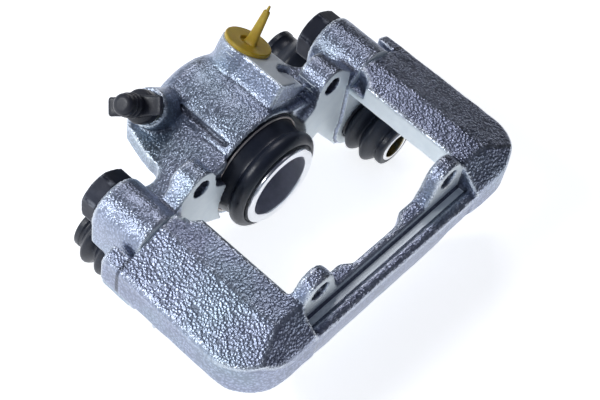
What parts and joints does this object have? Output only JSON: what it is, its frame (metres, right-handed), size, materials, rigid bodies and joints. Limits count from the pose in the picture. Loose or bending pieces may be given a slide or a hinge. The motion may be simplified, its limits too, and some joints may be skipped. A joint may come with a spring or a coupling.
{
  "type": "brake caliper",
  "caption": "Floating brake caliper with one piston, a bolted bridge, sliding guide sleeves under rubber bellows, pad pin bores, a bleed screw and a plugged hose port.",
  "frame": {"origin": "on the piston axis, in the plane of the housing's machined pin boss faces", "axes": "+X along the piston axis towards the outboard side, +Y across the caliper, +Z away from the wheel's centre"},
  "size_m": [0.1332, 0.178, 0.0841],
  "materials": {
    "cast_housing": "zinc-plated sand casting with machined faces",
    "cast_bridge": "zinc-plated sand casting with machined faces",
    "bolt_steel": "blue-black coated steel",
    "piston_steel": "ground and plated steel",
    "seal_rubber": "smooth rubber",
    "boot_rubber": "satin moulded rubber",
    "ring_steel": "spring wire",
    "sleeve_steel": "turned steel, greased bore",
    "bellows_rubber": "satin moulded rubber",
    "bleed_steel": "zinc-plated steel",
    "cap_rubber": "satin moulded rubber",
    "plug_plastic": "moulded plastic"
  },
  "bodies": {
    "caliper": {"cylinder_housing": "cast_housing", "bridge_yoke": "cast_bridge", "bridge_bolt_left": "bolt_steel", "bridge_bolt_right": "bolt_steel", "piston_seal": "seal_rubber", "piston_boot": "boot_rubber", "boot_retaining_ring": "ring_steel", "guide_ring_left": "seal_rubber", "guide_ring_right": "seal_rubber", "front_bellows_left": "bellows_rubber", "front_bellows_right": "bellows_rubber", "rear_bellows_left": "bellows_rubber", "rear_bellows_right": "bellows_rubber"},
    "piston": {"piston": "piston_steel"},
    "sleeve_left": {"guide_sleeve_left": "sleeve_steel"},
    "sleeve_right": {"guide_sleeve_right": "sleeve_steel"},
    "bleed_screw": {"bleed_screw": "bleed_steel"},
    "bleed_cap": {"bleed_cap": "cap_rubber", "bleed_cap_strap": "cap_rubber"},
    "transport_plug": {"transport_plug": "plug_plastic"}
  },
  "joints": [
    {"name": "piston_slide", "type": "slide", "parent": "caliper", "child": "piston", "axis": [1, 0, 0], "range_m": [-0.007, 0.014], "deforming": ["piston_boot"]},
    {"name": "sleeve_left_slide", "type": "slide", "parent": "caliper", "child": "sleeve_left", "axis": [1, 0, 0], "range_m": [-0.02, 0.008], "deforming": ["front_bellows_left", "rear_bellows_left"]},
    {"name": "sleeve_right_slide", "type": "slide", "parent": "caliper", "child": "sleeve_right", "axis": [1, 0, 0], "range_m": [-0.006, 0.02], "deforming": ["front_bellows_right", "rear_bellows_right"]},
    {"name": "bleed_screw_turn", "type": "hinge", "parent": "caliper", "child": "bleed_screw", "pos_m": [-0.043, -0.0297, 0.0297], "axis": [0, -0.7071, 0.7071], "range_deg": [0, 360]},
    {"name": "cap_pull", "type": "slide", "parent": "bleed_screw", "child": "bleed_cap", "axis": [0, -0.7071, 0.7071], "range_m": [0, 0.025]},
    {"name": "plug_pull", "type": "slide", "parent": "caliper", "child": "transport_plug", "axis": [0, 0.5, 0.866], "range_m": [0, 0.05]}
  ]
}
